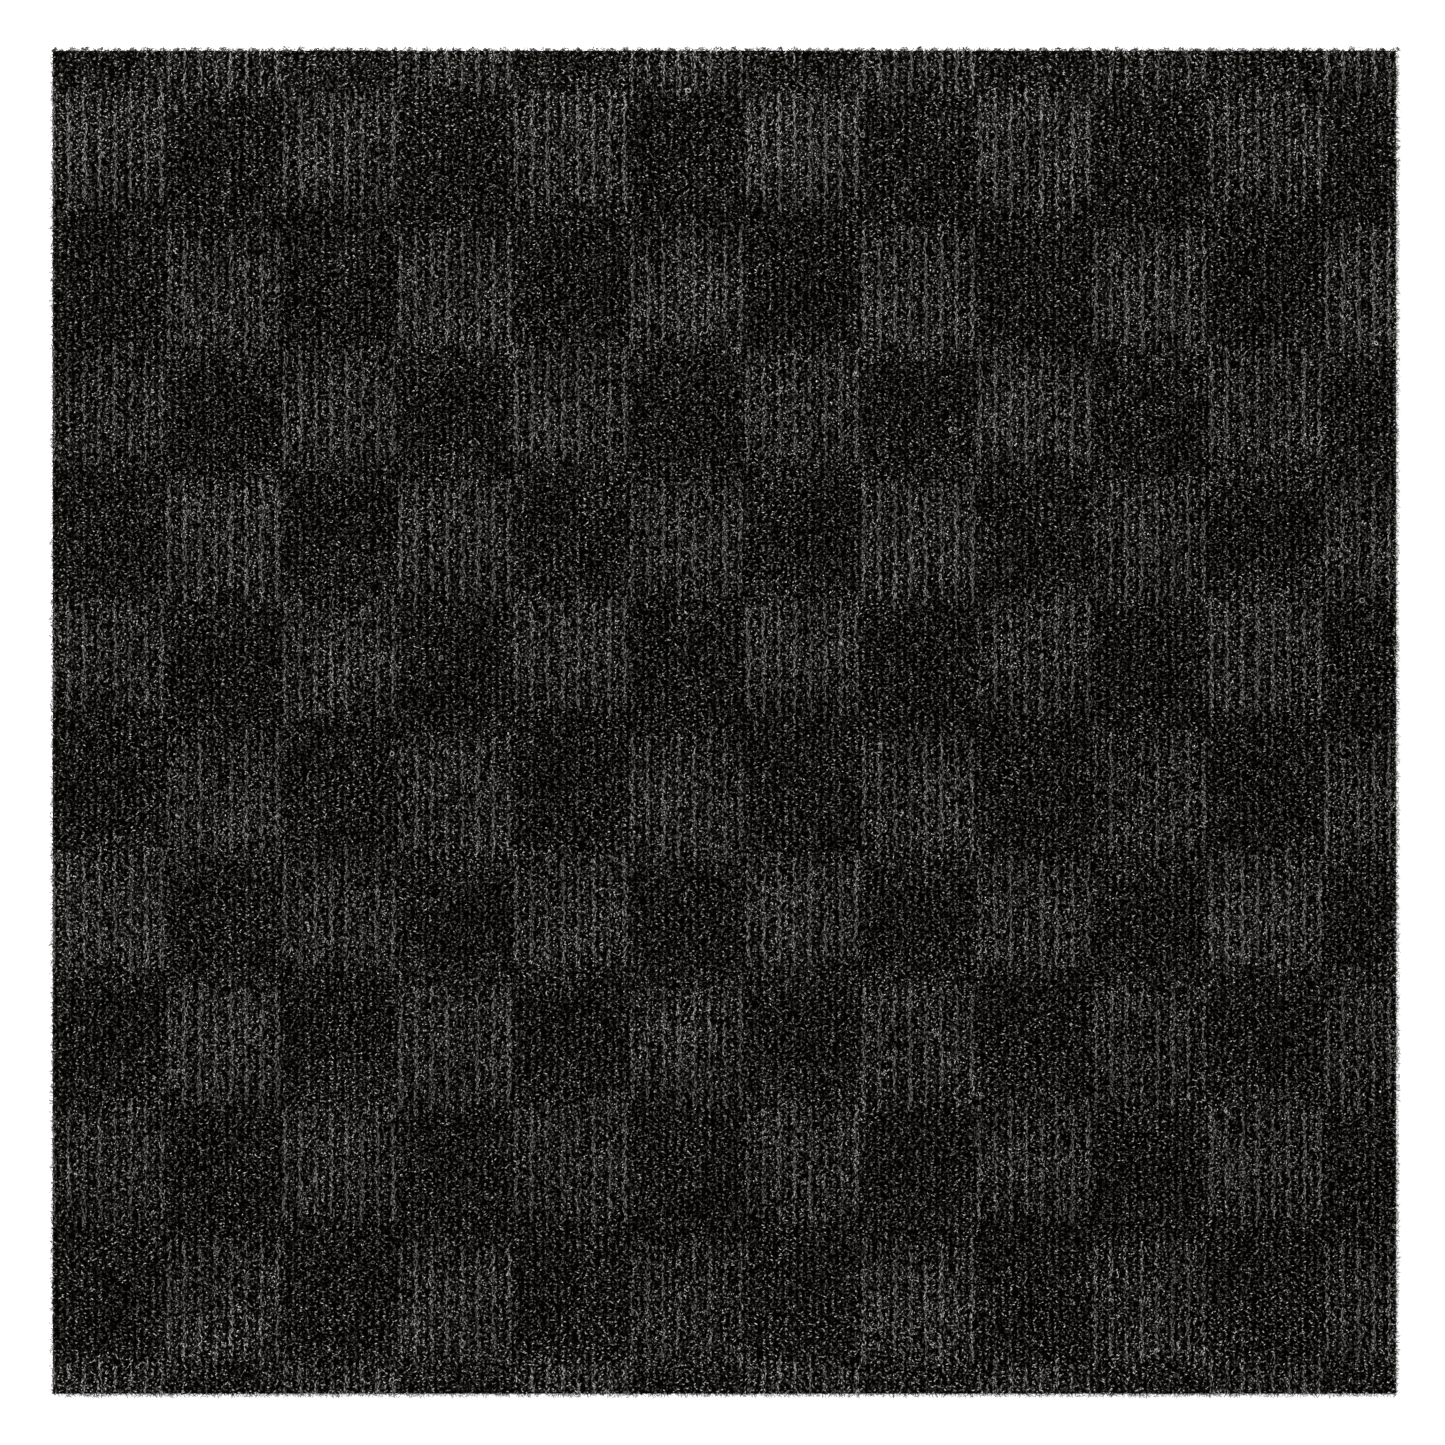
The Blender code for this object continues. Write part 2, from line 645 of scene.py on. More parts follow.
    def lay_map(self, slab: bpy.types.Object) -> None:
        """Lay the bake map: walls lowest, then the underside, then the face.

        Args:
            slab: The slab.
        """
        places = self.places(slab)
        corners = np.empty(len(slab.data.loops), np.int32)
        slab.data.loops.foreach_get("vertex_index", corners)
        spots = places[corners, :2] / self.pattern.edge + 0.5
        height = places[corners, 2] / self.crest_height
        normals = np.empty((len(slab.data.polygons), 3), np.float32)
        slab.data.polygons.foreach_get("normal", normals.ravel())
        sides = np.empty(len(slab.data.polygons), np.int32)
        slab.data.polygons.foreach_get("loop_total", sides)
        normal = np.repeat(normals, sides, axis=0)
        wall = np.abs(normal[:, 2]) < 0.2
        along_x = np.abs(normal[:, 1]) > np.abs(normal[:, 0])
        number = np.where(along_x, 0, 2) + (normal[:, 0] + normal[:, 1] > 0)
        u = np.where(wall & ~along_x, spots[:, 1], spots[:, 0])
        across_strip = self.wall_margin + (1 - 2 * self.wall_margin) * height
        v_wall = self.wall_strip * (number + across_strip) / 4
        v_below = self.wall_strip + (self.face_strip - self.wall_strip) * spots[:, 1]
        v_face = self.face_strip + (1 - self.face_strip) * spots[:, 1]
        v = np.where(wall, v_wall, np.where(normal[:, 2] < 0, v_below, v_face))
        layer = slab.data.uv_layers.new(name=BAKE_MAP)
        layer.data.foreach_set("uv", np.column_stack((u, v)).astype(np.float32).ravel())


@dataclass
class LoopMaker:
    """Models each form of fibre once, at its real size.

    A loop lies along X with its tips down. It is a bent bundle of fibre with three sides and a
    ridge on top. A ring lies flat. Two numbers are stored on their points for the map that the
    colour reads: the painted light of the point (a painted highlight on the ridge, painted shade
    on the flanks and tips), and how far to the side of the ridge.
    """

    length: float = 1.8 * MM
    thickness: float = 0.42 * MM
    tip_drop: float = 0.6 * MM
    # Painted shade on the tips and flanks, as a share of the ridge's painted highlight.
    tip_painted_light: float = 0.7
    flank_painted_light: float = 0.5
    ring_thickness: float = 0.42 * MM
    ring_sides: int = 10

    def collection(self) -> bpy.types.Collection:
        """Model all the forms into a collection of their own.

        Returns:
            The collection, which the loop fields pick from.
        """
        forms = bpy.data.collections.new("loop_forms")
        bpy.context.scene.collection.children.link(forms)
        for number, form in enumerate(LoopForm):
            shift, radius = form.value
            loop = self.model_ring(radius) if radius else self.model_loop(shift)
            loop.name = f"loop_{number}"
            for home in loop.users_collection:
                home.objects.unlink(loop)
            forms.objects.link(loop)
        return forms

    def model_loop(self, shift: float) -> bpy.types.Object:
        """Model one loop: a three-cornered ring at the crown, drawn out to a tip on both sides.

        Args:
            shift: How far the crown is pushed sideways.

        Returns:
            A closed spindle of six triangles.
        """
        bpy.ops.object.select_all(action="DESELECT")
        bpy.ops.mesh.primitive_circle_add(
            vertices=3, radius=self.thickness / 2, rotation=(math.pi / 2, 0, math.pi / 2),
        )
        loop = bpy.context.active_object
        bpy.ops.object.transform_apply(location=True, rotation=True, scale=True)
        bpy.ops.object.mode_set(mode="EDIT")
        bpy.ops.mesh.select_all(action="SELECT")
        self.draw_tip(self.length / 2)
        self.pick_crown(loop)
        self.draw_tip(-self.length / 2)
        self.pick_crown(loop)
        bpy.ops.transform.translate(value=(0, shift, 0))
        bpy.ops.mesh.select_all(action="SELECT")
        bpy.ops.mesh.normals_make_consistent(inside=False)
        bpy.ops.object.mode_set(mode="OBJECT")
        self.mark(loop, lambda place: (abs(place.x) < self.thickness / 4, place.y - shift))
        bpy.ops.object.shade_smooth()
        return loop

    def model_ring(self, radius: float) -> bpy.types.Object:
        """Model a curled fibre end as a thin ring with a ridge on top.

        Args:
            radius: Radius of the ring's middle line.

        Returns:
            The ring.
        """
        bpy.ops.object.select_all(action="DESELECT")
        bpy.ops.mesh.primitive_torus_add(
            major_segments=self.ring_sides, minor_segments=3,
            major_radius=radius, minor_radius=self.ring_thickness / 2,
        )
        ring = bpy.context.active_object
        self.mark(ring, lambda place: (True, math.hypot(place.x, place.y) - radius))
        bpy.ops.object.shade_smooth()
        return ring

    def draw_tip(self, reach: float) -> None:
        """Draw the selected ring out along X by reach, down by the tip's drop, and close it to a point.

        Args:
            reach: Length along X.
        """
        move = {"value": (reach, 0, -self.tip_drop)}
        bpy.ops.mesh.extrude_region_move(TRANSFORM_OT_translate=move)
        bpy.ops.mesh.merge(type="CENTER")

    def pick_crown(self, loop: bpy.types.Object) -> None:
        """Select the three corners of a loop's crown, in edit mode.

        Args:
            loop: The loop.
        """
        bpy.ops.mesh.select_all(action="DESELECT")
        bpy.ops.object.mode_set(mode="OBJECT")
        for vertex in loop.data.vertices:
            vertex.select = abs(vertex.co.x) < self.thickness / 4
        bpy.ops.object.mode_set(mode="EDIT")
        bpy.ops.mesh.select_mode(type="VERT")

    def mark(self, loop: bpy.types.Object, part_of: Callable) -> None:
        """Store on each point its painted light, and on which side of the ridge.

        Args:
            loop: The finished loop or ring.
            part_of: Gives for a point whether it is on the crown, and how far to the side of it.
        """
        lit = loop.data.attributes.new("lit", "FLOAT", "POINT")
        across = loop.data.attributes.new("across", "FLOAT", "POINT")
        for vertex in loop.data.vertices:
            on_crown, side = part_of(vertex.co)
            on_ridge = on_crown and vertex.co.z > 0 and abs(side) < self.thickness / 3
            # Painted light: a painted highlight on the ridge, painted shade on the flanks and on the
            # tips, which dip into the felt.
            if not on_crown:
                lit.data[vertex.index].value = self.tip_painted_light
                continue
            lit.data[vertex.index].value = 1.0 if on_ridge else self.flank_painted_light
            across.data[vertex.index].value = 0.0 if on_ridge else math.copysign(1.0, side)


@dataclass
class LoopBed:
    """Where a set of loops stands, how each lies, and its tone and form."""

    places: np.ndarray
    turns: np.ndarray
    sizes: np.ndarray
    tones: np.ndarray
    forms: np.ndarray

    def arrays(self) -> tuple[np.ndarray, ...]:
        """All that the bed holds, in the order of its fields."""
        return self.places, self.turns, self.sizes, self.tones, self.forms

    def part(self, chosen: np.ndarray) -> LoopBed:
        """Take the chosen loops alone."""
        return LoopBed(*(values[chosen] for values in self.arrays()))

    @staticmethod
    def joined(beds: list[LoopBed]) -> LoopBed:
        """Join several beds to one."""
        return LoopBed(*map(np.concatenate, zip(*(bed.arrays() for bed in beds))))


@dataclass
class LoopField:
    """One piece of loops, sown on a bed and joined to one mesh."""

    name: str
    bed: LoopBed
    loop_forms: bpy.types.Collection
    material: bpy.types.Material
    map_margin: float = 0.02
    map_width: float = 0.01

    def build(self) -> bpy.types.Object:
        """Sow the loops and make them one real mesh.

        Returns:
            The finished piece.
        """
        mesh = bpy.data.meshes.new(self.name)
        mesh.vertices.add(len(self.bed.places))
        mesh.vertices.foreach_set("co", self.bed.places.astype(np.float32).ravel())
        for name, kind, key, values in (
            ("turn", "FLOAT_VECTOR", "vector", self.bed.turns),
            ("size", "FLOAT_VECTOR", "vector", self.bed.sizes),
            ("tone", "FLOAT", "value", self.bed.tones),
            ("form", "INT", "value", self.bed.forms),
        ):
            store = mesh.attributes.new(name, kind, "POINT")
            number_type = np.int32 if kind == "INT" else np.float32
            store.data.foreach_set(key, values.astype(number_type).ravel())
        piece = bpy.data.objects.new(self.name, mesh)
        bpy.context.scene.collection.objects.link(piece)
        only(piece)
        sow = piece.modifiers.new("sow", "NODES")
        sow.node_group = self.sowing()
        bpy.ops.object.modifier_apply(modifier=sow.name)
        for name in ("turn", "size", "tone", "form", "lit", "across"):
            spent = piece.data.attributes.get(name)
            if spent:
                piece.data.attributes.remove(spent)
        return piece

    def sowing(self) -> bpy.types.NodeTree:
        """Make the nodes that put a loop on each point, realize it and lay its map.

        The map's U is the loop's tone, a little wider across the loop, and its V the painted light of
        the point. So every loop of one tone shares one strip of the map.

        Returns:
            The node group.
        """
        tree = bpy.data.node_groups.new("sow_" + self.name, "GeometryNodeTree")
        for way in ("INPUT", "OUTPUT"):
            tree.interface.new_socket("Geometry", in_out=way, socket_type="NodeSocketGeometry")
        seeds = add_node(tree, "NodeGroupInput")
        stock = add_node(
            tree, "GeometryNodeCollectionInfo",
            {"Collection": self.loop_forms, "Separate Children": True, "Reset Children": True},
        )
        stored = {
            name: add_node(tree, "GeometryNodeInputNamedAttribute", {"Name": name}, data_type=kind)
            for name, kind in (
                ("turn", "FLOAT_VECTOR"), ("size", "FLOAT_VECTOR"), ("form", "INT"),
                ("tone", "FLOAT"), ("lit", "FLOAT"), ("across", "FLOAT"),
            )
        }
        value = {name: node.outputs["Attribute"] for name, node in stored.items()}
        sown = add_node(
            tree, "GeometryNodeInstanceOnPoints",
            {"Points": seeds.outputs[0], "Instance": stock.outputs["Instances"],
             "Pick Instance": True, "Instance Index": value["form"],
             "Rotation": value["turn"], "Scale": value["size"]},
        )
        real = add_node(tree, "GeometryNodeRealizeInstances", {0: sown.outputs["Instances"]})
        centred = add_node(
            tree, "ShaderNodeMapRange",
            {"Value": value["tone"], "To Min": self.map_margin, "To Max": 1 - self.map_margin},
        )
        spread = add_node(
            tree, "ShaderNodeMath",
            {0: value["across"], 1: self.map_width, 2: centred.outputs["Result"]},
            operation="MULTIPLY_ADD",
        )
        spot = add_node(
            tree, "ShaderNodeCombineXYZ", {"X": spread.outputs["Value"], "Y": value["lit"]},
        )
        mapped = add_node(
            tree, "GeometryNodeStoreNamedAttribute",
            {"Geometry": real.outputs[0], "Name": BAKE_MAP, "Value": spot.outputs["Vector"]},
            data_type="FLOAT2", domain="CORNER",
        )
        dressed = add_node(
            tree, "GeometryNodeSetMaterial", {0: mapped.outputs[0], "Material": self.material},
        )
        add_node(tree, "NodeGroupOutput", {0: dressed.outputs["Geometry"]})
        return tree


def folded(x: np.ndarray, limit: float) -> np.ndarray:
    """Fold places that lie beyond the limit on either side back over it."""
    return np.sign(x) * (limit - np.abs(np.abs(x) - limit))


@dataclass
class Fibre(ABC):
    """A kind of fibre, which sets out the beds of its pieces by chance from one seed."""

    pattern: Pattern
    felt: FeltSlab
    seed: int

    def __post_init__(self) -> None:
        """Start the source of this kind's draws."""
        self.dice = np.random.default_rng(self.seed)

    @abstractmethod
    def beds(self) -> dict[str, LoopBed]:
        """Set out the loops, by the name of the piece that they make."""

    def draw_forms(self, count: int, shares: tuple[float, ...] = LYING_LOOPS) -> np.ndarray:
        """Draw the form of so many loops, each as its number in the order of LoopForm."""
        return self.dice.choice(len(LoopForm), count, p=shares)


@dataclass
class RibPile(Fibre):
    """Fibre that stands on the ribs: what the dark and the light pile have in common."""

    name: str
    fields: int
    spacing: float
    jitter: float
    side_spread: float
    edge_margin: float
    least_size: tuple[float, float, float]
    most_size: tuple[float, float, float]
    rise: float
    tone_bias: tuple[float, float]
    rise_spread: float = 0.3 * MM
    lean: float = 0.35 * MM

    @abstractmethod
    def lay_out(self) -> tuple[LoopBed, np.ndarray]:
        """Set out the loops, and give each one's rib."""

    def beds(self) -> dict[str, LoopBed]:
        """Lay out the loops in fields side by side.

        Returns:
            The bed of each field.
        """
        bed, rib = self.lay_out()
        field_of = rib * self.fields // self.pattern.rib_count
        return {
            f"{self.name}_{number + 1}": bed.part(field_of == number)
            for number in range(self.fields)
        }

    def rib_places(self) -> tuple[np.ndarray, np.ndarray]:
        """Set out places along every rib, one to a spacing, each somewhere within it.

        Returns:
            Each place's rib, and its place along Y.
        """
        rows = int(self.pattern.edge / self.spacing)
        rib, row = np.meshgrid(np.arange(self.pattern.rib_count), np.arange(rows), indexing="ij")
        rib, row = rib.ravel(), row.ravel()
        scatter = 0.5 + self.jitter * self.dice.uniform(-0.5, 0.5, len(row))
        return rib, -self.pattern.edge / 2 + (row + scatter) * self.spacing

    def across(self, rib: np.ndarray, aside: np.ndarray | float) -> np.ndarray:
        """Place loops along X, each scattered about its line and kept on the tile.

        Args:
            rib: Each loop's rib.
            aside: How far each loop's line lies from the rib's middle.

        Returns:
            Places along X.
        """
        scatter = self.dice.normal(self.lean, self.side_spread, len(rib))
        limit = self.pattern.edge / 2 - self.edge_margin
        return folded(self.pattern.rib_x(rib) + aside + scatter, limit)

    def laid(self, x: np.ndarray, y: np.ndarray, turn: np.ndarray) -> LoopBed:
        """Give the loops their sizes, heights, tones and forms.

        Args:
            x: Place of each loop across the ribs.
            y: Place of each loop along the ribs.
            turn: Turn of each loop from X, in degrees.

        Returns:
            The bed.
        """
        count = len(x)
        turns = np.zeros((count, 3))
        turns[:, 2] = np.radians(turn)
        sizes = self.dice.uniform(self.least_size, self.most_size, (count, 3))
        z = self.felt.height(x) + self.rise + self.dice.uniform(-1, 1, count) * self.rise_spread
        bias = self.dice.beta(*self.tone_bias, count)
        tones = np.clip(bias * self.pattern.tone_factor(x, y), 0, 1)
        return LoopBed(np.column_stack((x, y, z)), turns, sizes, tones, self.draw_forms(count))


@dataclass
class DarkPile(RibPile):
    """Charcoal loops across every rib, at a slant, thinner where light fibre takes their place."""

    seed: int = 7
    name: str = "charcoal_loops"
    fields: int = 4
    spacing: float = 1.0 * MM
    jitter: float = 0.9
    side_spread: float = 0.85 * MM
    edge_margin: float = 0.15 * MM
    least_size: tuple[float, float, float] = (0.7, 0.6, 0.8)
    most_size: tuple[float, float, float] = (1.15, 1.1, 1.2)
    rise: float = 0.55 * MM
    tone_bias: tuple[float, float] = (1.36, 1.5)
    left_on_light_ribs: float = 0.2
    slant_limit: float = 55.0

    def lay_out(self) -> tuple[LoopBed, np.ndarray]:
        """Set out the loops rib by rib.

        Returns:
            The bed, and each loop's rib.
        """
        rib, y = self.rib_places()
        taken = (1 - self.left_on_light_ribs) * self.pattern.light_ribs(rib, y)
        kept = self.dice.random(len(rib)) > taken
        rib, y = rib[kept], y[kept]
        x = self.across(rib, 0.0)
        turn = self.dice.uniform(-self.slant_limit, self.slant_limit, len(rib))
        return self.laid(x, y, turn), rib


@dataclass
class LightPile(RibPile):
    """Light grey strands on the light ribs, mostly along the rib in wandering lines that cross."""

    seed: int = 11
    name: str = "grey_loops"
    fields: int = 2
    spacing: float = 0.41 * MM
    jitter: float = 0.8
    side_spread: float = 0.3 * MM
    edge_margin: float = 0.3 * MM
    least_size: tuple[float, float, float] = (0.7, 0.8, 0.8)
    most_size: tuple[float, float, float] = (1.3, 1.25, 1.3)
    rise: float = 0.75 * MM
    tone_bias: tuple[float, float] = (2.1, 2.1)
    line_gap: float = 0.8 * MM
    line_shares: tuple[float, float, float] = (0.24, 0.52, 0.24)
    wander: float = 0.18 * MM
    wander_lengths: tuple[float, float] = (23 * MM, 8 * MM)
    slant: float = 20.0
    stray_share: float = 0.32
    stray_slant: float = 60.0

    def wandering(self, rib: np.ndarray, line: np.ndarray, y: np.ndarray) -> np.ndarray:
        """Sideways wander of each rib's lines.

        Args:
            rib: Each place's rib.
            line: Number of each place's line on its rib.
            y: Each place along the rib.

        Returns:
            How far each place is shifted across the rib.
        """
        lines = (len(self.wander_lengths), self.pattern.rib_count, len(self.line_shares))
        total = np.zeros(len(y))
        for phase, length in zip(self.dice.uniform(0, 2 * math.pi, lines), self.wander_lengths):
            total += np.sin(2 * math.pi * y / length + phase[rib, line])
        return self.wander * total

    def lay_out(self) -> tuple[LoopBed, np.ndarray]:
        """Set out the strands along each light rib.

        Returns:
            The bed, and each strand's rib.
        """
        rib, y = self.rib_places()
        kept = self.dice.random(len(rib)) < self.pattern.light_ribs(rib, y)
        rib, y = rib[kept], y[kept]
        line = self.dice.choice(len(self.line_shares), len(rib), p=self.line_shares)
        x = self.across(rib, (line - 1) * self.line_gap + self.wandering(rib, line, y))
        stray = self.dice.random(len(rib)) < self.stray_share
        slant = np.where(stray, self.stray_slant, self.slant)
        return self.laid(x, y, 90 + self.dice.normal(0, 1, len(rib)) * slant), rib


@dataclass
class CutEdge(Fibre):
    """Fibre at the four cut edges: loops on the walls, lumps on the far one, and loose ends."""

    seed: int = 23
    tone_bias: tuple[float, float] = (1.0, 3.0)
    loop_reach: float = 0.9 * MM
    least_size: tuple[float, float, float] = (0.8, 0.9, 0.8)
    most_size: tuple[float, float, float] = (1.4, 1.9, 1.3)
    wall_gap: float = 1.6 * MM
    wall_rows: int = 4
    row_scatter: tuple[float, float] = (0.2, 0.8)
    wall_slant: float = 40.0
    wall_out: tuple[float, float] = (-0.3 * MM, 0.6 * MM)
    end_gap: float = 0.36 * MM
    end_height: tuple[float, float] = (0.4, 1.1)
    end_size: tuple[float, float, float] = (1.5, 0.6, 0.6)
    end_growth: tuple[float, float] = (0.5, 1.5)
    end_lean: float = 45.0
    end_lift: float = 20.0
    end_out: tuple[float, float] = (-0.2 * MM, 1.3 * MM)
    lump_pitch_ribs: int = 2
    lump_loops: int = 12
    lump_shift: float = 0.8 * MM
    lump_radius: float = 1.5 * MM
    lump_out: float = 0.55 * MM
    lump_swell: tuple[float, float] = (0.4, 1.4)
    lump_rise: tuple[float, float] = (-1.5 * MM, 0.3 * MM)
    lump_tilt: tuple[float, float] = (-50.0, 0.0)
    lump_slant: float = 75.0

    def beds(self) -> dict[str, LoopBed]:
        """Set out the fibre of all four edges as one piece.

        Returns:
            The piece's bed.
        """
        walls = [math.pi / 2 * number for number in range(4)]
        beds = [self.wall_loops(wall) for wall in walls]
        beds += [self.loose_ends(wall) for wall in walls]
        beds.append(self.lumps())
        return {"cut_edge_fibre": LoopBed.joined(beds)}

    def on_wall(self, wall: float, along: np.ndarray, out: np.ndarray, z: np.ndarray) -> np.ndarray:
        """Turn places along a cut edge into places on the tile.

        Args:
            wall: Turn of the edge's outward side from +X.
            along: Distance along the edge from its middle.
            out: Distance outward from the edge.
            z: Height above the floor.

        Returns:
            Places, one to a row.
        """
        reach = self.pattern.edge / 2 + out
        x = reach * math.cos(wall) - along * math.sin(wall)
        y = reach * math.sin(wall) + along * math.cos(wall)
        return np.column_stack((x, y, z))

    def bed(self, places: np.ndarray, turns: np.ndarray, sizes: np.ndarray) -> LoopBed:
        """Give loops their tones and forms."""
        tones = self.dice.beta(*self.tone_bias, len(places))
        return LoopBed(places, turns, sizes, tones, self.draw_forms(len(places)))

    def wall_loops(self, wall: float) -> LoopBed:
        """Set out loops that lie on one cut wall in uneven rows, none of them below the floor.

        Args:
            wall: Turn of the wall's outward side from +X.

        Returns:
            The bed.
        """
        steps = int(self.pattern.edge / self.wall_gap)
        row, step = np.meshgrid(np.arange(self.wall_rows), np.arange(steps), indexing="ij")
        row, step = row.ravel(), step.ravel()
        count = len(row)
        along = (step + self.dice.uniform(0, 1, count)) * self.wall_gap - self.pattern.edge / 2
        level = row + self.dice.uniform(*self.row_scatter, count)
        out = self.dice.uniform(*self.wall_out, count)
        turns = np.zeros((count, 3))
        turns[:, 0] = -math.pi / 2
        turns[:, 1] = np.radians(self.dice.normal(0, self.wall_slant, count))
        turns[:, 2] = wall - math.pi / 2
        sizes = self.dice.uniform(self.least_size, self.most_size, (count, 3))
        room = self.loop_reach * (sizes[:, 0] * np.abs(np.sin(turns[:, 1])) + sizes[:, 1] / 2)
        z = np.maximum(self.felt.crest_height * level / self.wall_rows, room)
        return self.bed(self.on_wall(wall, along, out, z), turns, sizes)

    def loose_ends(self, wall: float) -> LoopBed:
        """Set out thin fibre ends that stick out of one cut edge.

        Args:
            wall: Turn of the edge's outward side from +X.

        Returns:
            The bed.
        """
        count = int(self.pattern.edge / self.end_gap)
        along = self.dice.uniform(-0.5, 0.5, count) * self.pattern.edge
        z = self.dice.uniform(*self.end_height, count) * self.felt.crest_height
        sizes = np.array(self.end_size) * self.dice.uniform(*self.end_growth, (count, 1))
        places = self.on_wall(wall, along, self.dice.uniform(*self.end_out, count), z)
        turns = np.zeros((count, 3))
        turns[:, 0] = self.dice.uniform(0, 2 * math.pi, count)
        turns[:, 1] = -np.radians(self.dice.normal(0, self.end_lift, count))
        turns[:, 2] = wall + np.radians(self.dice.normal(0, self.end_lean, count))
        return self.bed(places, turns, sizes)

    def lumps(self) -> LoopBed:
        """Set out the small heaps of loops that bulge over the far edge, one to every other rib.

        Returns:
            The bed.
        """
        ribs = np.arange(0, self.pattern.rib_count, self.lump_pitch_ribs)
        rib = np.repeat(ribs, self.lump_loops)
        count = len(rib)
        swell = np.repeat(self.dice.uniform(*self.lump_swell, len(ribs)), self.lump_loops)
        way = self.dice.uniform(0, 2 * math.pi, count)
        away = np.sqrt(self.dice.random(count)) * self.lump_radius
        x = self.pattern.rib_x(rib) + self.lump_shift + away * np.cos(way)
        y = self.pattern.edge / 2 + swell * (self.lump_out + away * np.sin(way) / 2)
        z = self.felt.crest_height + self.dice.uniform(*self.lump_rise, count)
        turns = np.zeros((count, 3))
        turns[:, 0] = np.radians(self.dice.uniform(*self.lump_tilt, count))
        turns[:, 2] = np.radians(self.dice.uniform(-self.lump_slant, self.lump_slant, count))
        sizes = self.dice.uniform(self.least_size, self.most_size, (count, 3))
        return self.bed(np.column_stack((x, y, z)), turns, sizes)


@dataclass
class StrayCurls(Fibre):
    """Fibre ends that curled up into small rings, and long loose hairs on the face."""

    seed: int = 31
    face_share: float = 0.49
    rings: int = 100
    ring_rise: tuple[float, float] = (0.7 * MM, 1.1 * MM)
    ring_size: tuple[float, float] = (0.6, 1.0)
    ring_tilt: float = 18.0
    ring_tone_bias: tuple[float, float] = (1.3, 2.2)
    far_edge_rings: int = 26
    far_edge_out: tuple[float, float] = (-0.6 * MM, 0.8 * MM)
    far_edge_drop: float = 1.2 * MM
    hairs: int = 500
    hair_rise: tuple[float, float] = (0.9 * MM, 1.2 * MM)
    hair_size: tuple[float, float, float] = (2.2, 0.3, 0.3)
    hair_growth: tuple[float, float] = (0.5, 1.3)
    hair_tone_bias: tuple[float, float] = (2.0, 1.5)

    def beds(self) -> dict[str, LoopBed]:
        """Set out the rings and the hairs as one piece."""
        return {"stray_curls": LoopBed.joined([self.ring_bed(), self.hair_bed()])}

    def scattered(self, count: int) -> np.ndarray:
        """Places along X and along Y, anywhere on the face."""
        return self.dice.uniform(-self.face_share, self.face_share, (2, count)) * self.pattern.edge

    def ring_bed(self) -> LoopBed:
        """Set out the rings, some of them along the far edge.

        Returns:
            The bed.
        """
        count = self.rings + self.far_edge_rings
        at_edge = slice(self.rings, None)
        x, y = self.scattered(count)
        y[at_edge] = self.pattern.edge / 2 + self.dice.uniform(*self.far_edge_out, self.far_edge_rings)
        x[at_edge] = self.pattern.rib_x(self.pattern.nearest_rib(x[at_edge]))
        z = self.felt.crest_height + self.dice.uniform(*self.ring_rise, count)
        z[at_edge] -= self.far_edge_drop
        turns = np.radians(self.dice.normal(0, self.ring_tilt, (count, 3)))
        turns[:, 2] = self.dice.uniform(0, 2 * math.pi, count)
        sizes = np.ones((count, 3)) * self.dice.uniform(*self.ring_size, (count, 1))
        sizes[:, 0] *= self.dice.uniform(*self.ring_size, count)
        forms = self.draw_forms(count, RINGS)
        tones = self.dice.beta(*self.ring_tone_bias, count)
        return LoopBed(np.column_stack((x, y, z)), turns, sizes, tones, forms)

    def hair_bed(self) -> LoopBed:
        """Set out the hairs, anywhere on the face.

        Returns:
            The bed.
        """
        x, y = self.scattered(self.hairs)
        z = self.felt.crest_height + self.dice.uniform(*self.hair_rise, self.hairs)
        turns = np.zeros((self.hairs, 3))
        turns[:, 2] = self.dice.uniform(0, 2 * math.pi, self.hairs)
        sizes = np.array(self.hair_size) * self.dice.uniform(*self.hair_growth, (self.hairs, 1))
        forms = self.draw_forms(self.hairs)
        tones = self.dice.beta(*self.hair_tone_bias, self.hairs)
        return LoopBed(np.column_stack((x, y, z)), turns, sizes, tones, forms)


@dataclass
class Pile:
    """All the fibre that stands on the felt."""

    pattern: Pattern
    felt: FeltSlab

    def build(self) -> list[bpy.types.Object]:
        """Model the loop forms, sow each kind of fibre with them and clear the forms away.

        Returns:
            The finished pieces.
        """
        loop_forms = LoopMaker().collection()
        charcoal = CHARCOAL_LOOPS.material()
        grey = GREY_LOOPS.material()
        built = []
        for kind, material in (
            (DarkPile, charcoal), (LightPile, grey), (CutEdge, charcoal), (StrayCurls, charcoal),
        ):
            for name, bed in kind(self.pattern, self.felt).beds().items():
                built.append(LoopField(name, bed, loop_forms, material).build())
        for loop in list(loop_forms.objects):
            bpy.data.objects.remove(loop)
        bpy.data.collections.remove(loop_forms)
        return built


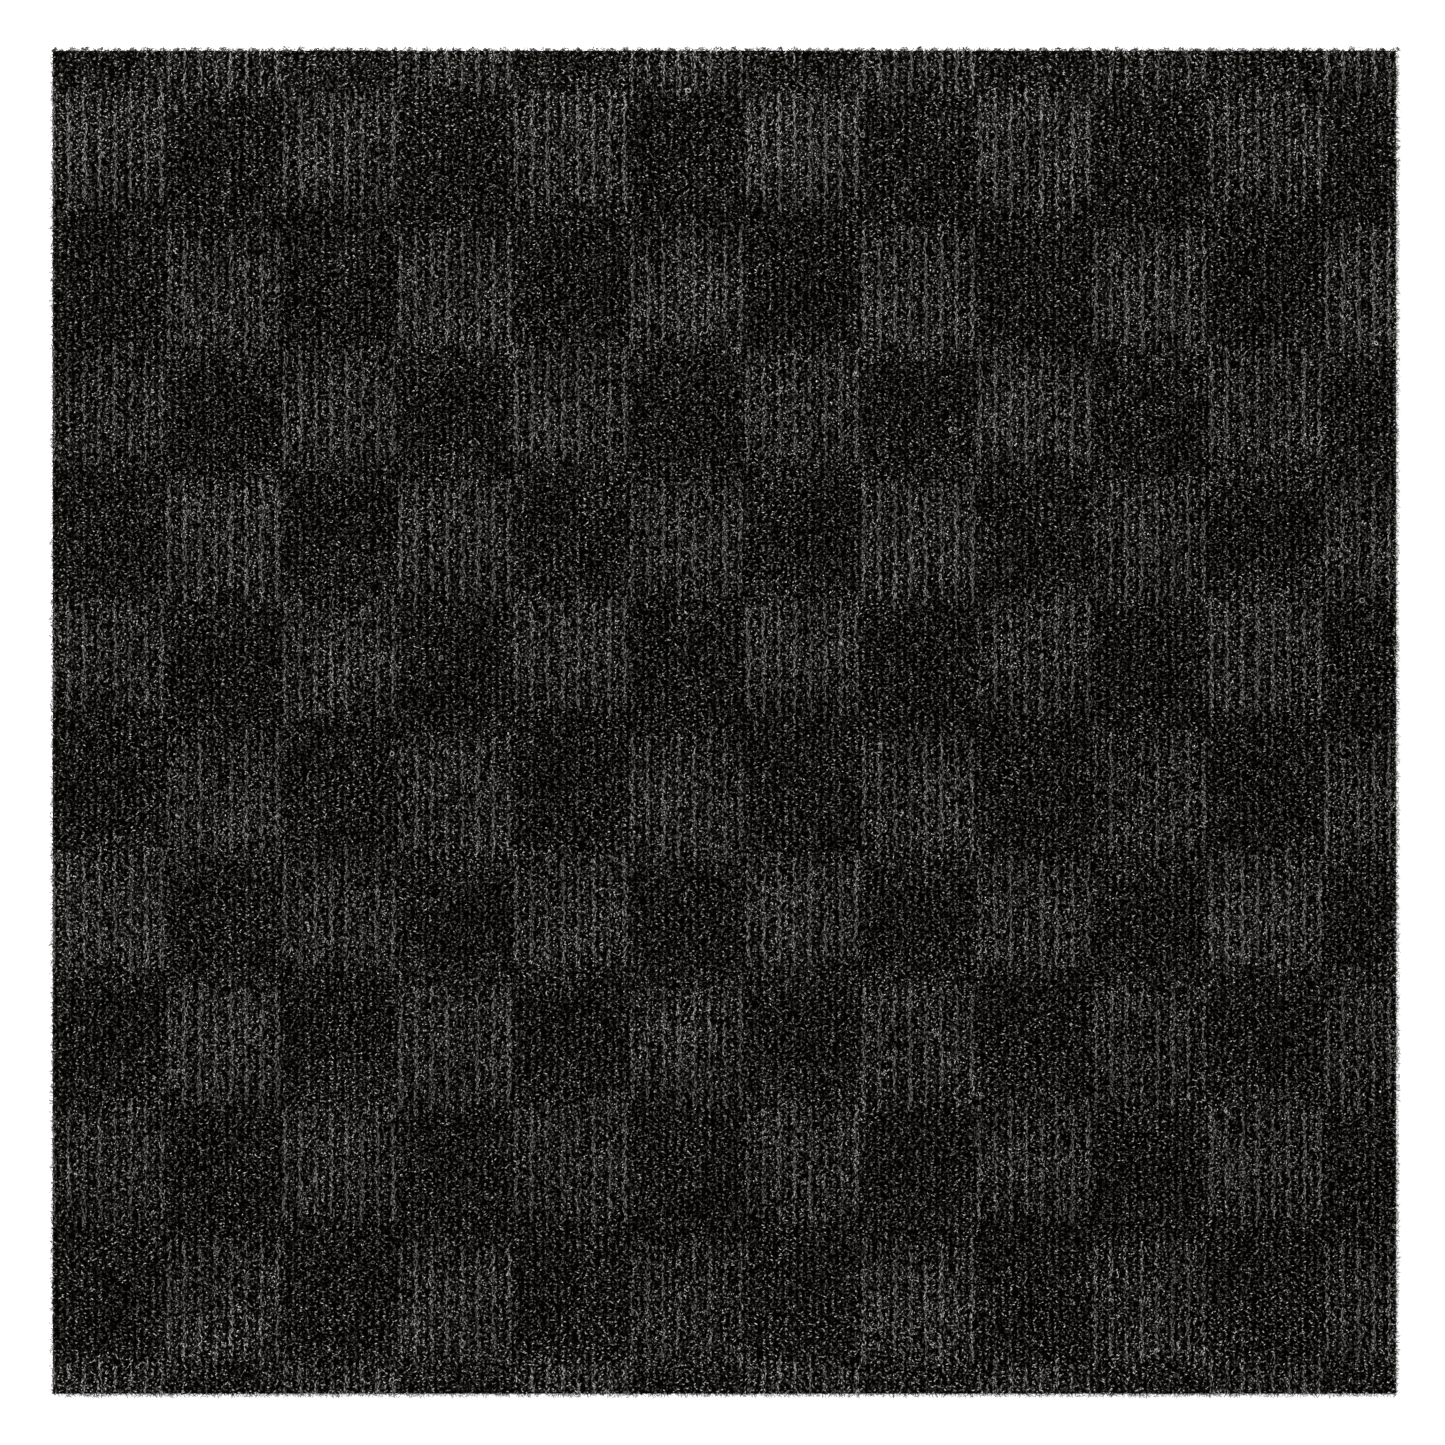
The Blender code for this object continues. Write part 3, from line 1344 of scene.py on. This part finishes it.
@dataclass
class Studio:
    """Matt white floor, soft light and a camera that looks straight down."""

    floor_size: float = 6.0
    floor_drop: float = 0.2 * MM
    floor_colour: str = "fafafa"
    floor_roughness: float = 0.9
    sky_colour: str = "ffffff"
    sky_strength: float = 1.7
    key_place: tuple[float, float, float] = (-0.9, 0.9, 1.6)
    key_turn: tuple[float, float, float] = (-38.0, -30.0, 0.0)
    key_power: float = 50.0
    key_size: float = 1.4
    picture_width: float = 654.9 * MM
    aim: tuple[float, float, float] = (-0.85 * MM, -0.15 * MM, 6 * MM)
    lens: float = 100.0
    sensor: float = 36.0

    def build(self) -> None:
        """Set up the floor, the lights and the camera."""
        self.lay_floor()
        self.light()
        self.set_camera()

    def lay_floor(self) -> None:
        """Lay the floor just below the tile."""
        bpy.ops.object.select_all(action="DESELECT")
        bpy.ops.mesh.primitive_plane_add(size=self.floor_size, location=(0, 0, -self.floor_drop))
        floor = bpy.context.active_object
        floor.name = "studio_floor"
        paint = bpy.data.materials.new("studio_floor_paint")
        paint.use_nodes = True
        shader = paint.node_tree.nodes["Principled BSDF"]
        shader.inputs["Base Color"].default_value = linear(self.floor_colour)
        shader.inputs["Roughness"].default_value = self.floor_roughness
        floor.data.materials.append(paint)

    def light(self) -> None:
        """Light the tile from an even sky, and from one large soft light at the far left."""
        world = bpy.data.worlds.new("studio_sky")
        world.use_nodes = True
        sky = world.node_tree.nodes["Background"]
        sky.inputs["Color"].default_value = linear(self.sky_colour)
        sky.inputs["Strength"].default_value = self.sky_strength
        bpy.context.scene.world = world
        bpy.ops.object.light_add(type="AREA", location=self.key_place)
        key = bpy.context.active_object
        key.name = "key_light"
        key.data.size = self.key_size
        key.data.energy = self.key_power
        key.rotation_euler = [math.radians(turn) for turn in self.key_turn]

    def set_camera(self) -> None:
        """Hang the camera so that its picture is as wide as it should be at the height of the pile."""
        camera_data = bpy.data.cameras.new("camera")
        camera_data.lens = self.lens
        camera_data.sensor_width = self.sensor
        camera = bpy.data.objects.new("camera", camera_data)
        distance = self.picture_width * self.lens / self.sensor
        camera.location = (self.aim[0], self.aim[1], self.aim[2] + distance)
        bpy.context.scene.collection.objects.link(camera)
        bpy.context.scene.camera = camera
        bpy.context.scene.view_settings.view_transform = "Standard"


def keep(piece: bpy.types.Object) -> None:
    """Make a piece part of the tile and report it.

    Args:
        piece: The finished piece.
    """
    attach(piece, BODY)
    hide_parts(NODE)
    piece.data.calc_loop_triangles()
    log.info("%s: %d triangles", piece.name, len(piece.data.loop_triangles))


def main() -> None:
    """Build the tile, its loops and the studio."""
    logging.basicConfig(level=logging.INFO, format="%(name)s: %(message)s")
    edge = CAD_BOX[1][0] - CAD_BOX[0][0]
    pattern = Pattern(edge=edge)
    felt = FeltSlab(pattern)
    keep(felt.build())
    for piece in Pile(pattern, felt).build():
        keep(piece)
    Studio().build()


if __name__ == "__main__":
    main()
